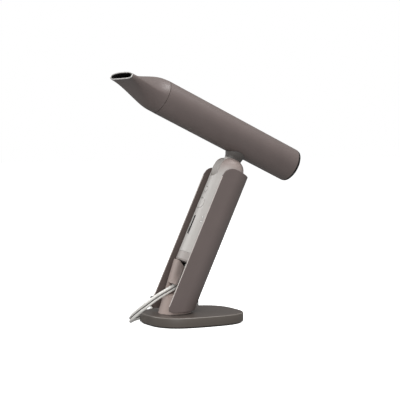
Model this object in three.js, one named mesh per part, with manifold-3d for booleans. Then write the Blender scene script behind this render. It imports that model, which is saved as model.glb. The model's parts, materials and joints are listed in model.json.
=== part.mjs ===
// A slim folding hair dryer that stands in its tilted holder, with a flat twin mains cord.
//
// Row frame: millimetres, +Z up. The origin is the middle of the underside of the holder's base.
// -Y is the front, where the nozzle points; +X and -X are the two sides.
// "mast" is the tilted frame of the holder and handle: its +Z runs up the handle's axis, its -Y
// faces forward and its origin is where that axis meets the base. "head" is the frame of the
// barrel: its origin is the fold pivot, and the barrel's own axis runs along -Y above it.
import * as THREE from 'three';
import { mergeVertices } from 'three/addons/utils/BufferGeometryUtils.js';
import Module from 'manifold-3d';

const wasm = await Module();
wasm.setup();

// ---- driving dimensions ----
const GAP = 0.3; // between pieces that touch
const TILT = THREE.MathUtils.degToRad(25); // of the holder and handle, back from upright

const BASE = { halfWidth: 46.5, halfLength: 57, power: 3, bottom: 1.5, top: 12, edge: 1.2, wall: 3 };
const PAD = { inset: 2.2, top: 1.2 };
const BALLAST = { inset: 7, bottom: 1.8, top: 7.6 };
const FOOT_Y = -27; // where the handle's axis meets the top of the base

const CHANNEL = { radius: 24, wall: 2.2, front: -16.5, top: 178.4, rise: 3.5 };
const PEDESTAL = { radius: 17, lean: -6.5, start: 3.5, top: 58.7, flange: 2.9 };

const HANDLE = { radius: 18, wall: 2.2, bottom: 59, seam: 70, slotFloor: 163.2, slotHalf: 8,
  hollowTop: 154, domePower: 2.6 };
const PIVOT_Z = 174.5; // up the mast
const PIN_RADIUS = 3;
const DRUM = { radius: 17, half: 7.6 };
const AXIS_HEIGHT = 43; // of the barrel's axis above the fold pivot

const BARREL = { radius: 20, wall: 1.8, front: 114.2, rear: -73, capRear: -75.4 };
const SPIGOT = { radius: 17, bore: 15.2, front: 121 };
const NOZZLE = { back: 114.5, front: 168.5, radius: 19.9, wall: 1.3, lip: 1.2,
  side: { start: 119, end: 168.5, reach: 28.6 },
  upper: { start: 117, end: 166, reach: 4.6 },
  lower: { start: 121, end: 168.5, reach: 4.3 } };

const SLIDER = { low: 91, high: 114, half: 1.5, knob: 9, proud: 0.5, travel: 12.5 };
const POWER = { z: 129.4, radius: 6.5 };
const COOL = { z: 146.4, radius: 3.8 };
const BUTTON_PROUD = 0.3;
const LAMPS = { heights: [108.5, 114], angle: THREE.MathUtils.degToRad(39), radius: 0.9 };

const CORD_RADIUS = 2.4; // of a round tube that holds as much as the flat twin cord
const HANK = { near: [-76.5, 16], heading: Math.atan2(0.493, -0.87), straight: 60, halfWidth: 28.1,
  bottom: 1.3, layers: 2 };
const PLUG_SIDE = 9; // how far the plug lies to the side of the hank's middle

// ---- materials ----
const paint = (color, roughness, metalness = 0) =>
  new THREE.MeshStandardMaterial({ color, roughness, metalness });
const TAUPE = paint('#6e645f', 0.5);
const BASE_TAUPE = paint('#6d6864', 0.55);
const POST_TAUPE = paint('#a59690', 0.5);
const HANDLE_GREY = paint('#c8c4c0', 0.45);
const KNUCKLE_GREY = paint('#6c6a66', 0.5);
const SILVER = paint('#c8c6c2', 0.3, 0.9);
const STEEL = paint('#8f9194', 0.35, 1);
const BLACK = paint('#232222', 0.6);
const RUBBER = paint('#2c2b2a', 0.8);
const BUTTON_GREY = paint('#d4d1cd', 0.4);
const LAMP_WHITE = paint('#f4f3f0', 0.3);
const MICA = paint('#b9a27a', 0.6);
const BOARD_GREEN = paint('#2e5a3c', 0.5);
const CORD_WHITE = paint('#ebe9e4', 0.5);
const BRASS = paint('#b99a55', 0.35, 1);

// ---- solids ----
function toSolid(geometry) {
  const bare = geometry.index ? geometry.toNonIndexed() : geometry.clone();
  bare.deleteAttribute('normal');
  bare.deleteAttribute('uv');
  const merged = mergeVertices(bare, 1e-4);
  const mesh = new wasm.Mesh({
    numProp: 3,
    vertProperties: new Float32Array(merged.attributes.position.array),
    triVerts: new Uint32Array(merged.index.array),
  });
  return new wasm.Manifold(mesh);
}

function toGeometry(solid) {
  const { vertProperties, triVerts } = solid.getMesh();
  const geometry = new THREE.BufferGeometry();
  geometry.setAttribute('position', new THREE.BufferAttribute(new Float32Array(vertProperties), 3));
  geometry.setIndex([...triVerts]);
  return geometry;
}

const cut = (body, ...tools) => tools.reduce((rest, tool) => rest.subtract(tool), body);
const join = (first, ...others) => others.reduce((sum, other) => sum.add(other), first);

function piece(name, shape, material, frame) {
  const geometry = shape.isBufferGeometry ? shape : toGeometry(shape);
  geometry.computeVertexNormals();
  const mesh = new THREE.Mesh(geometry, material);
  mesh.name = name;
  frame.add(mesh);
  return mesh;
}

// A box between two corners.
function block(low, high) {
  const size = high.map((value, i) => value - low[i]);
  const geometry = new THREE.BoxGeometry(...size);
  geometry.translate(...low.map((value, i) => value + size[i] / 2));
  return geometry;
}

// A turned solid about +Z from [radius, z] pairs; the profile closes on the axis or on itself.
function turned(profile, segments = 40) {
  const points = profile.map(([r, z]) => new THREE.Vector2(r, z));
  const geometry = new THREE.LatheGeometry(points, segments);
  return geometry.rotateX(Math.PI / 2);
}

// A turned solid about the barrel's axis from [radius, distance forward of the pivot] pairs.
function turnedForward(profile, segments = 40) {
  return turned(profile, segments).rotateX(Math.PI / 2).translate(0, 0, AXIS_HEIGHT);
}

// A rod along X, Y or Z, from one coordinate to another.
function rod(axis, radius, from, to, [u, v] = [0, 0], segments = 24) {
  const geometry = new THREE.CylinderGeometry(radius, radius, to - from, segments);
  const middle = (from + to) / 2;
  if (axis === 'x') return geometry.rotateZ(-Math.PI / 2).translate(middle, u, v);
  if (axis === 'y') return geometry.translate(u, middle, v);
  return geometry.rotateX(Math.PI / 2).translate(u, v, middle);
}

// A side outline drawn as (y, z), made into a plate from x = from to x = to.
function sidePlate(shape, from, to) {
  const geometry = new THREE.ExtrudeGeometry(shape, { depth: to - from, bevelEnabled: false,
    curveSegments: 8 });
  const sideways = new THREE.Matrix4().makeBasis(new THREE.Vector3(0, 1, 0),
    new THREE.Vector3(0, 0, 1), new THREE.Vector3(1, 0, 0));
  return geometry.applyMatrix4(sideways).translate(from, 0, 0);
}

// A front outline drawn as (x, z), made into a plate from y = from to y = to.
function frontPlate(shape, from, to) {
  const geometry = new THREE.ExtrudeGeometry(shape, { depth: to - from, bevelEnabled: false,
    curveSegments: 6 });
  return geometry.rotateX(Math.PI / 2).translate(0, to, 0);
}

// A polygon whose corners, [u, v, radius], are rounded.
function roundedOutline(corners) {
  const shape = new THREE.Shape();
  corners.forEach(([u, v, radius], i) => {
    const here = new THREE.Vector2(u, v);
    const before = new THREE.Vector2(...corners.at(i - 1));
    const after = new THREE.Vector2(...corners[(i + 1) % corners.length]);
    const start = here.clone().add(before.sub(here).setLength(radius));
    const end = here.clone().add(after.sub(here).setLength(radius));
    if (i === 0) shape.moveTo(start.x, start.y);
    else shape.lineTo(start.x, start.y);
    if (radius > 0) shape.quadraticCurveTo(u, v, end.x, end.y);
  });
  shape.closePath();
  return shape;
}

function polygon(corners) {
  return new THREE.Shape(corners.map(([u, v]) => new THREE.Vector2(u, v)));
}

// A closed skin over a row of rings that have the same number of points, capped at both ends.
function loft(rings) {
  const count = rings[0].length;
  const points = rings.flat();
  const triangles = [];
  for (let i = 0; i + 1 < rings.length; i += 1) {
    for (let j = 0; j < count; j += 1) {
      const a = i * count + j;
      const b = i * count + ((j + 1) % count);
      triangles.push(a, b, b + count, a, b + count, a + count);
    }
  }
  const last = (rings.length - 1) * count;
  for (let j = 1; j + 1 < count; j += 1) {
    triangles.push(0, j + 1, j, last, last + j, last + j + 1);
  }
  const geometry = new THREE.BufferGeometry().setFromPoints(points);
  geometry.setIndex(triangles);
  return geometry;
}

// ---- frames ----
const part = new THREE.Group();
const mast = new THREE.Group();
mast.position.set(0, FOOT_Y, BASE.top);
mast.rotation.x = -TILT;
part.add(mast);
const head = new THREE.Group();
head.position.z = PIVOT_Z;
mast.add(head);
mast.updateMatrix();

const inMast = (x, y, z) => new THREE.Vector3(x, y, z).applyMatrix4(mast.matrix);

// The space of the mast's frame that lies below a height of the row's frame.
function below(height) {
  const slab = block([-80, -120, height - 60], [80, 120, height]);
  return toSolid(slab.applyMatrix4(mast.matrix.clone().invert()));
}

// ---- the holder's base ----
function baseRing(inset, z, count = 56) {
  const across = BASE.halfWidth - inset;
  const along = BASE.halfLength - inset;
  const ring = [];
  for (let i = 0; i < count; i += 1) {
    const angle = (i / count) * 2 * Math.PI;
    const [c, s] = [Math.cos(angle), Math.sin(angle)];
    const stretch = (Math.abs(c) ** BASE.power + Math.abs(s) ** BASE.power) ** (-1 / BASE.power);
    ring.push(new THREE.Vector3(across * c * stretch, along * s * stretch, z));
  }
  return ring;
}

function addBase() {
  const { bottom, top, edge, wall } = BASE;
  const outside = loft([baseRing(0.6, bottom), baseRing(0, bottom + 0.6), baseRing(0, top - edge),
    baseRing(edge * 0.3, top - edge * 0.3), baseRing(edge, top)]);
  const cavity = loft([baseRing(wall, bottom - 1), baseRing(wall, top - wall)]);
  const screws = [[-24, 30], [24, 30], [-24, -34], [24, -34]];
  const bosses = screws.map(([x, y]) => toSolid(rod('z', 4.5, BALLAST.top + GAP, top - 1, [x, y])));
  const bores = screws.map(([x, y]) => toSolid(rod('z', 1.8, 5, top - 2.5, [x, y], 12)));
  const clearance = screws.map(([x, y]) => toSolid(rod('z', 2.2, 0, 9, [x, y], 12)));
  const shell = join(cut(toSolid(outside), toSolid(cavity)), ...bosses);
  piece('stand_base_cover', cut(shell, ...bores), BASE_TAUPE, part);
  const plate = toSolid(loft([baseRing(BALLAST.inset, BALLAST.bottom),
    baseRing(BALLAST.inset, BALLAST.top)]));
  const recesses = screws.map(([x, y]) => toSolid(rod('z', 3.8, 0, BALLAST.bottom + 1.8, [x, y], 16)));
  piece('stand_ballast_plate', cut(plate, ...clearance, ...recesses), STEEL, part);
  screws.forEach(([x, y], i) => {
    const z = BALLAST.bottom + GAP;
    const shape = turned([[0, z], [3.3, z], [3.3, z + 1.2], [1.4, z + 1.2], [1.4, z + 7], [0, z + 7]], 12);
    piece(`stand_ballast_screw_${i + 1}`, shape.translate(x, y, 0), STEEL, part);
  });
  piece('stand_foot_pad', loft([baseRing(PAD.inset, 0), baseRing(PAD.inset, PAD.top)]), RUBBER, part);
}

// ---- the holder's channel and its pedestal ----
const BACK_SCREWS = [24, 42]; // up the mast

function addChannel() {
  const { radius, wall, front, top, rise } = CHANNEL;
  const inner = radius - wall;
  const section = new THREE.Shape();
  section.moveTo(radius, front);
  section.lineTo(radius, 0);
  section.absarc(0, 0, radius, 0, Math.PI);
  section.lineTo(-radius, front);
  section.lineTo(-inner, front);
  section.lineTo(-inner, 0);
  section.absarc(0, 0, inner, Math.PI, 0, true);
  section.lineTo(inner, front);
  section.closePath();
  const tall = new THREE.ExtrudeGeometry(section, { depth: top + 20, bevelEnabled: false,
    curveSegments: 14 });
  tall.translate(0, 0, -20);
  const heightAt = (y) => (rise + y * Math.sin(TILT)) / Math.cos(TILT);
  const side = roundedOutline([[front, heightAt(front), 8], [radius + 1, heightAt(radius + 1), 0],
    [radius + 1, top, 3], [front, top, 14]]);
  const holes = BACK_SCREWS.map((z) => toSolid(rod('y', 1.9, 15, radius + 5, [0, z], 12)));
  const sinks = BACK_SCREWS.map((z) => toSolid(rod('y', 3.4, radius - 1, radius + 5, [0, z], 16)));
  const shell = toSolid(tall).intersect(toSolid(sidePlate(side, -radius - 1, radius + 1)));
  piece('stand_channel', cut(shell, ...holes, ...sinks), TAUPE, mast);
}

function addPedestal() {
  const { radius, lean, start, top, flange } = PEDESTAL;
  const slope = lean / top;
  const leaning = (across) => toSolid(rod('z', across, -14, top, [0, 0], 40)
    .applyMatrix4(new THREE.Matrix4().set(1, 0, 0, 0, 0, 1, slope, start, 0, 0, 1, 0, 0, 0, 0, 1)));
  const post = leaning(radius);
  // The near half is open above the cord's way out, and a pocket holds the cord's boot.
  const above = top + 3;
  const opening = polygon([[-30, 6], [-17, 12], [-12, 18], [-3, 25], [30, 25], [30, above],
    [-30, above]]);
  const pocket = polygon([[-16.5, above], [-10.5, 44], [-8.5, 29], [9, 29], [9, above]]);
  const rib = toSolid(rod('z', CHANNEL.radius - CHANNEL.wall - GAP, 14, 50, [0, 0], 56))
    .intersect(toSolid(block([-7, 10, 14], [7, 30, 50])));
  const bores = BACK_SCREWS.map((z) => toSolid(rod('y', 1.8, 10, 30, [0, z], 12)));
  const trimmed = cut(join(post, rib), below(BASE.top + GAP),
    toSolid(sidePlate(opening, -1.5, radius + 3)), toSolid(sidePlate(pocket, -6.6, 0)), ...bores);
  // A thin wall goes on round the front, in front of the boot and above the cord's way out.
  const wallSide = roundedOutline([[-3, 31, 0], [12.5, 31, 3], [12.5, top - 6, 5], [5, top, 3],
    [-3, top, 0]]);
  const wall = cut(post, leaning(radius - 2.4)).intersect(toSolid(frontPlate(wallSide, -25, -6)));
  const upright = join(trimmed, wall).transform(mast.matrix.elements);
  const ring = (x, back, ahead, z) => {
    const points = [];
    for (let i = 0; i < 40; i += 1) {
      const angle = (i / 40) * 2 * Math.PI;
      const reach = Math.sin(angle) > 0 ? back : ahead;
      points.push(new THREE.Vector3(x * Math.cos(angle), FOOT_Y + 2 + reach * Math.sin(angle), z));
    }
    return points;
  };
  const foot = loft([ring(17.5, 23, 15.5, BASE.top + GAP), ring(16.5, 22, 14.5, BASE.top + flange)]);
  piece('stand_pedestal', join(upright, toSolid(foot)), POST_TAUPE, part);
}

function addHolderFittings() {
  const { radius, wall } = CHANNEL;
  const inner = radius - wall;
  BACK_SCREWS.forEach((z, i) => {
    const shape = turned([[0, 0], [3, 0], [3, 0.7], [1.5, 0.7], [1.5, 12], [0, 12]], 12);
    shape.rotateX(Math.PI / 2).translate(0, radius - 0.1, z);
    piece(`stand_channel_screw_${i + 1}`, shape, STEEL, mast);
  });
  // Two soft strips on the channel's back wall, which the handle leans on.
  [-1, 1].forEach((side, i) => {
    const strip = block([-3.5, 18.4, 66], [3.5, 30, 158]);
    strip.rotateZ(side * 0.5);
    const bound = toSolid(rod('z', inner - GAP, 60, 165, [0, 0], 64));
    piece(`stand_rest_strip_${i + 1}`, toSolid(strip).intersect(bound), RUBBER, mast);
  });
}

// ---- the handle ----
// The rounded top of the handle, a little fuller than a half sphere, about the fold pivot.
function handleDome(segments) {
  const { radius, domePower } = HANDLE;
  const profile = [[0, PIVOT_Z - 2], [radius, PIVOT_Z - 2]];
  for (let i = 0; i <= 12; i += 1) {
    const angle = (i / 12) * (Math.PI / 2);
    const stretch = (Math.cos(angle) ** domePower + Math.sin(angle) ** domePower) ** (-1 / domePower);
    const across = i < 12 ? radius * Math.cos(angle) * stretch : 0;
    profile.push([across, PIVOT_Z + radius * Math.sin(angle) * stretch]);
  }
  return toSolid(turned(profile, segments));
}

function addHandle() {
  const { radius, wall, seam, slotFloor, slotHalf, hollowTop } = HANDLE;
  const inner = radius - wall;
  const tube = toSolid(rod('z', radius, seam + GAP, PIVOT_Z, [0, 0], 48));
  const dome = handleDome(48);
  const hollow = toSolid(rod('z', inner, seam - 1, hollowTop, [0, 0], 40));
  const slot = join(toSolid(rod('y', slotHalf, -20, 20, [0, slotFloor + slotHalf], 40)),
    toSolid(block([-slotHalf, -20, slotFloor + slotHalf], [slotHalf, 20, PIVOT_Z + 22])));
  const scoop = toSolid(rod('x', DRUM.radius + 0.8, -slotHalf, slotHalf, [0, PIVOT_Z], 48));
  const pinHole = toSolid(rod('x', PIN_RADIUS + GAP, -20, 14.8, [0, PIVOT_Z], 20));
  const leadWay = toSolid(rod('z', 3, 150, 170, [0, 8], 16));
  const windowLow = 84;
  const windowHigh = 150;
  const opening = toSolid(block([-20, 6, windowLow], [20, 20, windowHigh]));
  const slit = toSolid(block([-SLIDER.half, -20, SLIDER.low], [SLIDER.half, -12, SLIDER.high]));
  const powerHole = toSolid(rod('y', POWER.radius + GAP, -20, -8, [0, POWER.z], 32));
  const coolHole = toSolid(rod('y', COOL.radius + GAP, -20, -8, [0, COOL.z], 24));
  const shell = cut(join(tube, dome), hollow, slot, scoop, pinHole, leadWay, opening, slit,
    powerHole, coolHole, ...lampRods(LAMPS.radius + GAP, 12, 20));
  piece('handle_shell', shell, HANDLE_GREY, mast);
  const cover = cut(toSolid(rod('z', radius, windowLow + GAP, windowHigh - GAP, [0, 0], 48)),
    hollow, toSolid(block([-20, -20, 60], [20, 6 + GAP, 170])));
  const screwHeights = [90, 144];
  const bores = screwHeights.map((z) => toSolid(rod('y', 1.5, 12, 25, [0, z], 12)));
  const sinks = screwHeights.map((z) => toSolid(rod('y', 2.8, 17, 25, [0, z], 16)));
  piece('handle_back_cover', cut(cover, ...bores, ...sinks), HANDLE_GREY, mast);
  screwHeights.forEach((z, i) => {
    const shape = turned([[0, 0], [2.4, 0], [2.4, 0.7], [1.2, 0.7], [1.2, 9], [0, 9]], 12);
    shape.rotateX(Math.PI / 2).translate(0, 17.9, z);
    piece(`handle_screw_${i + 1}`, shape, STEEL, mast);
  });
}

function lampRods(radius, from, to) {
  return LAMPS.heights.map((z) => {
    const lamp = rod('y', radius, -to, -from, [0, 0], 10);
    return toSolid(lamp.rotateZ(LAMPS.angle).translate(0, 0, z));
  });
}

function addEndCap() {
  const { radius, bottom, seam } = HANDLE;
  const profile = [[5, bottom], [radius - 2.4, bottom], [radius - 0.7, bottom + 0.7],
    [radius, bottom + 2.4], [radius, seam], [radius - 2.6, seam], [radius - 2.6, bottom + 3.2],
    [5, bottom + 3.2], [5, bottom]];
  piece('handle_end_cap', turned(profile, 48), HANDLE_GREY, mast);
}

// The cord leaves the end cap down the handle's axis and bends forward: the boot follows it.
const CORD_START = HANDLE.bottom;
const BOOT = { length: 25, wide: 6, narrow: 4.3 };

// The free part of the cord, in the row's frame.
const CORD_ROUTE = [
  inMast(0, 0, CORD_START),
  inMast(0, 0, CORD_START - 7),
  inMast(0, -0.4, CORD_START - 13),
  inMast(0.3, -2.2, 40.2),
  new THREE.Vector3(1.3, -18, 44.5),
  new THREE.Vector3(2.9, -27, 40.4),
  new THREE.Vector3(4.5, -36, 36.7),
  new THREE.Vector3(5.8, -45, 32.9),
  new THREE.Vector3(6.2, -53, 28.5),
  new THREE.Vector3(4.1, -60.4, 22.9),
  new THREE.Vector3(-1.2, -66.2, 16.6),
  new THREE.Vector3(-8.4, -70, 10),
  new THREE.Vector3(-16.6, -69.3, 5.4),
  new THREE.Vector3(-25, -65, 3.8),
  new THREE.Vector3(-33, -58.6, 3.65),
  new THREE.Vector3(-40.5, -50.3, 3.65),
  new THREE.Vector3(-47.6, -40.6, 3.65),
  new THREE.Vector3(-55.6, -30.8, 3.8),
  new THREE.Vector3(-65.4, -22, 4.3),
  new THREE.Vector3(-77, -14.2, 4.8),
];

function sweptTaper(curve, from, to, wide, narrow, rings = 9, sides = 20) {
  const frames = [];
  let side = new THREE.Vector3(1, 0, 0);
  for (let i = 0; i < rings; i += 1) {
    const share = i / (rings - 1);
    const at = from + (to - from) * share;
    const tangent = curve.getTangentAt(at);
    side = side.clone().addScaledVector(tangent, -side.dot(tangent)).normalize();
    const other = tangent.clone().cross(side);
    const radius = wide + (narrow - wide) * share;
    const ring = [];
    for (let j = 0; j < sides; j += 1) {
      const angle = (j / sides) * 2 * Math.PI;
      ring.push(curve.getPointAt(at).addScaledVector(side, radius * Math.cos(angle))
        .addScaledVector(other, radius * Math.sin(angle)));
    }
    frames.push(ring);
  }
  return loft(frames);
}

function addCord() {
  const curve = new THREE.CatmullRomCurve3(CORD_ROUTE, false, 'centripetal');
  const length = curve.getLength();
  const boot = sweptTaper(curve, GAP / length, BOOT.length / length, BOOT.wide, BOOT.narrow);
  const shank = turned([[0, 0], [4.5, 0], [4.5, 3.8], [7, 3.8], [7, 5.6], [4.5, 5.6], [4.5, 8],
    [0, 8]], 24).translate(0, 0, HANDLE.bottom - 0.4);
  shank.applyMatrix4(mast.matrix);
  piece('cord_strain_relief', join(toSolid(boot), toSolid(shank)), CORD_WHITE, part);
  const start = (BOOT.length + GAP) / length;
  const free = [];
  for (let i = 0; i <= 40; i += 1) free.push(curve.getPointAt(start + (1 - start) * (i / 40)));
  const section = new THREE.Shape();
  for (let i = 0; i < 8; i += 1) {
    const angle = (i / 8) * 2 * Math.PI;
    const point = [CORD_RADIUS * Math.cos(angle), CORD_RADIUS * Math.sin(angle)];
    if (i) section.lineTo(...point);
    else section.moveTo(...point);
  }
  const tube = new THREE.ExtrudeGeometry(section, { steps: 60, bevelEnabled: false,
    extrudePath: new THREE.CatmullRomCurve3(free, false, 'centripetal') });
  piece('cord_run', tube, CORD_WHITE, part);
}

// ---- the hank of cord behind the base, its tie and the plug on it ----
const hank = new THREE.Group();
hank.position.set(...HANK.near, 0);
hank.rotation.z = HANK.heading; // +X of this frame runs away from the base along the hank
part.add(hank);
const HANK_TOP = HANK.bottom + HANK.layers * 7.35 + 0.3;
const plug = new THREE.Group();
plug.position.y = PLUG_SIDE;
hank.add(plug);

function stadium(half, from, to) {
  const shape = new THREE.Shape();
  shape.moveTo(from, -half);
  shape.lineTo(to, -half);
  shape.absarc(to, 0, half, -Math.PI / 2, Math.PI / 2);
  shape.lineTo(from, half);
  shape.absarc(from, 0, half, Math.PI / 2, (3 * Math.PI) / 2);
  return shape;
}

function addHank() {
  const outline = stadium(HANK.halfWidth, 0, HANK.straight);
  const solid = new THREE.ExtrudeGeometry(outline, { depth: HANK_TOP - HANK.bottom,
    bevelEnabled: false, curveSegments: 12 });
  piece('cord_hank', solid.translate(0, 0, HANK.bottom), CORD_WHITE, hank);
  const [tieMiddle, tieHalf, tieThick] = [14, 4, 0.9];
  const reach = HANK.halfWidth + GAP;
  const around = toSolid(block([tieMiddle - tieHalf, -reach - tieThick, HANK.bottom - GAP - tieThick],
    [tieMiddle + tieHalf, reach + tieThick, HANK_TOP + GAP + tieThick]));
  const inside = toSolid(block([tieMiddle - 10, -reach, HANK.bottom - GAP],
    [tieMiddle + 10, reach, HANK_TOP + GAP]));
  piece('cord_hank_tie', cut(around, inside), RUBBER, hank);
}

function addPlug() {
  const bottom = HANK_TOP + GAP;
  const thick = 14;
  const body = roundedOutline([[34, -8, 3], [58, -11.5, 4], [58, 11.5, 4], [34, 8, 3]]);
  const shape = new THREE.ExtrudeGeometry(body, { depth: thick - 3, bevelSize: 1.5,
    bevelThickness: 1.5, bevelSegments: 2, bevelOffset: -1.5, curveSegments: 5 });
  const relief = toSolid(turned([[0, 0], [5.2, 0], [4, 13], [0, 13]], 16).rotateY(-Math.PI / 2)
    .translate(35, 0, bottom + thick / 2));
  const blades = [-6.35, 6.35];
  const sockets = blades.map((y) => toSolid(block([52, y - 1.1, bottom + thick / 2 - 3.5],
    [62, y + 1.1, bottom + thick / 2 + 3.5])));
  const moulded = toSolid(shape.translate(0, 0, bottom + 1.5));
  piece('plug_body', cut(join(moulded, relief), ...sockets), CORD_WHITE, plug);
  blades.forEach((y, i) => {
    const [low, high] = [bottom + thick / 2 - 3.15, bottom + thick / 2 + 3.15];
    const blade = roundedOutline([[52.3, low, 0], [74, low, 1.2], [74, high, 1.2], [52.3, high, 0]]);
    const plate = new THREE.ExtrudeGeometry(blade, { depth: 1.5, bevelEnabled: false,
      curveSegments: 3 });
    plate.rotateX(Math.PI / 2).translate(0, y + 0.75, 0);
    piece(`plug_blade_${i + 1}`, plate, BRASS, plug);
  });
}

// ---- the controls in the handle ----
function addControls() {
  const front = -HANDLE.radius;
  const button = ({ z, radius }, name) => {
    const flange = radius + 1;
    const profile = [[0, 0], [radius - 0.8, 0], [radius, 0.8], [radius, 6], [flange, 6], [flange, 7],
      [0, 7]];
    const shape = turned(profile, 32).rotateX(-Math.PI / 2).translate(0, front - BUTTON_PROUD, z);
    // The face follows the round of the handle.
    const round = toSolid(rod('z', HANDLE.radius + BUTTON_PROUD, z - 10, z + 10, [0, 0], 96));
    piece(name, toSolid(shape).intersect(round), BUTTON_GREY, mast);
  };
  button(POWER, 'power_button');
  button(COOL, 'cool_button');
  // The sliding plate stops short of the button's flange at the top of its travel.
  const plateTop = POWER.z - POWER.radius - 1.5 - SLIDER.travel;
  const plate = toSolid(block([-4, -14.8, SLIDER.low - 12], [4, -13.8, plateTop]));
  const knobLow = SLIDER.low + 0.5;
  const half = SLIDER.half - GAP;
  const face = front - SLIDER.proud;
  const knob = roundedOutline([[-14, knobLow, 0], [-14, knobLow + SLIDER.knob, 0],
    [face, knobLow + SLIDER.knob, 0.8], [face, knobLow, 0.8]]);
  piece('speed_slider', join(plate, toSolid(sidePlate(knob, -half, half))), BLACK, mast);
  piece('slide_switch', block([-3.5, -13.4, SLIDER.low + 1], [3.5, -9.8, SLIDER.high - 1]), BLACK, mast);
  const dome = (z) => toSolid(block([-3, -10.3, z - 3], [3, -9.8, z + 3]));
  piece('power_switch', dome(POWER.z), BLACK, mast);
  piece('cool_switch', dome(COOL.z), BLACK, mast);
  const board = toSolid(block([-11.5, -9.5, 86], [11.5, -7.9, 154]));
  const parts = [toSolid(block([-8, -8, 92], [8, 0, 104])), toSolid(rod('z', 3.5, 110, 122, [0, -4.2], 16)),
    toSolid(block([-6, -8, 128], [6, -4, 140]))];
  const webs = [toSolid(block([-3, -8.2, 109], [3, -6, 123]))];
  piece('control_board', join(board, ...parts, ...webs), BOARD_GREEN, mast);
  lampRods(LAMPS.radius, 13.2, HANDLE.radius + 0.15).forEach((lamp, i) => {
    piece(`indicator_lamp_${i + 1}`, lamp, LAMP_WHITE, mast);
  });
}

// ---- the fold hinge ----
function addHinge() {
  piece('hinge_pin', rod('x', PIN_RADIUS, -15, 14.4, [0, 0], 20), STEEL, head);
  const dome = handleDome(48).translate(0, 0, -PIVOT_Z);
  const cap = toSolid(rod('x', PIN_RADIUS, -18.2, -15.4, [0, 0], 20)).intersect(dome);
  piece('hinge_pin_cap', cap, HANDLE_GREY, head);
  const washer = turned([[PIN_RADIUS + GAP, 0], [6.5, 0], [6.5, 0.4], [PIN_RADIUS + GAP, 0.4],
    [PIN_RADIUS + GAP, 0]], 20).rotateY(Math.PI / 2).translate(-HANDLE.slotHalf + 0.15, 0, 0);
  piece('hinge_washer', washer, STEEL, head);
}

function addKnuckle() {
  const { radius, half } = DRUM;
  const far = -HANDLE.slotHalf + 0.85; // leaves room for the washer
  const drum = toSolid(rod('x', radius, far, half, [0, 0], 48));
  // An oval neck, which folds into the round notch of the handle and widens into a saddle.
  const neck = [];
  const neckRings = [[7.1, 10.2, 10], [7.1, 10.4, 17], [7.6, 10.8, 18.9], [9.4, 11.4, 21.5],
    [11.5, 13, 26]];
  for (const [width, depth, z] of neckRings) {
    const ring = [];
    for (let i = 0; i < 36; i += 1) {
      const angle = (i / 36) * 2 * Math.PI;
      ring.push(new THREE.Vector3(width * Math.cos(angle), depth * Math.sin(angle), z));
    }
    neck.push(ring);
  }
  const barrelSpace = toSolid(turnedForward([[0, -40], [BARREL.radius + GAP, -40],
    [BARREL.radius + GAP, 40], [0, 40]], 64));
  const boss = toSolid(rod('z', 5.5, 20, 26.6, [0, 0], 24));
  const pinHole = toSolid(rod('x', PIN_RADIUS + GAP, -20, 20, [0, 0], 20));
  const bores = [-8, 8].map((y) => toSolid(rod('z', 1.3, 14, 26, [0, y], 10)));
  const saddle = cut(toSolid(loft(neck)), barrelSpace);
  piece('head_knuckle', cut(join(drum, saddle, boss), pinHole, ...bores), KNUCKLE_GREY, head);
}

// ---- the barrel and what it holds ----
function addBarrel() {
  const { radius, wall, front, rear } = BARREL;
  const inner = radius - wall;
  const profile = [[inner, rear], [radius, rear], [radius, front - 0.8], [radius - 0.4, front],
    [inner, front], [inner, rear]];
  const bossHole = toSolid(rod('z', 5.5 + GAP, 15, 30, [0, 0], 24));
  const screwHoles = [-8, 8].map((y) => toSolid(rod('z', 1.7, 15, 30, [0, y], 12)));
  piece('barrel_shell', cut(toSolid(turnedForward(profile, 56)), bossHole, ...screwHoles), TAUPE, head);
  const plate = turnedForward([[inner - 1.9, -12], [inner - GAP, -12], [inner - GAP, 12],
    [inner - 1.9, 12], [inner - 1.9, -12]], 64);
  const half = toSolid(block([-9, -20, 20], [9, 20, 30]));
  piece('knuckle_clamp_plate', cut(toSolid(plate).intersect(half), bossHole, ...screwHoles), STEEL, head);
  [-8, 8].forEach((y, i) => {
    const shape = turned([[0, 16], [1.1, 16], [1.1, 27.4], [2.4, 27.4], [2.4, 28.6], [0, 28.6]], 12);
    piece(`knuckle_screw_${i + 1}`, shape.translate(0, y, 0), STEEL, head);
  });
}

function ringProfile(inner, outer, from, to) {
  return [[inner, from], [outer, from], [outer, to], [inner, to], [inner, from]];
}

// Straight bars across a ring about the barrel's axis.
function spokes(count, reach, width, from, to) {
  const bars = [];
  for (let i = 0; i < count; i += 1) {
    const bar = block([-reach, -to, -width / 2], [reach, -from, width / 2]);
    bars.push(toSolid(bar.rotateY((i / count) * Math.PI).translate(0, 0, AXIS_HEIGHT)));
  }
  return bars;
}

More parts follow.
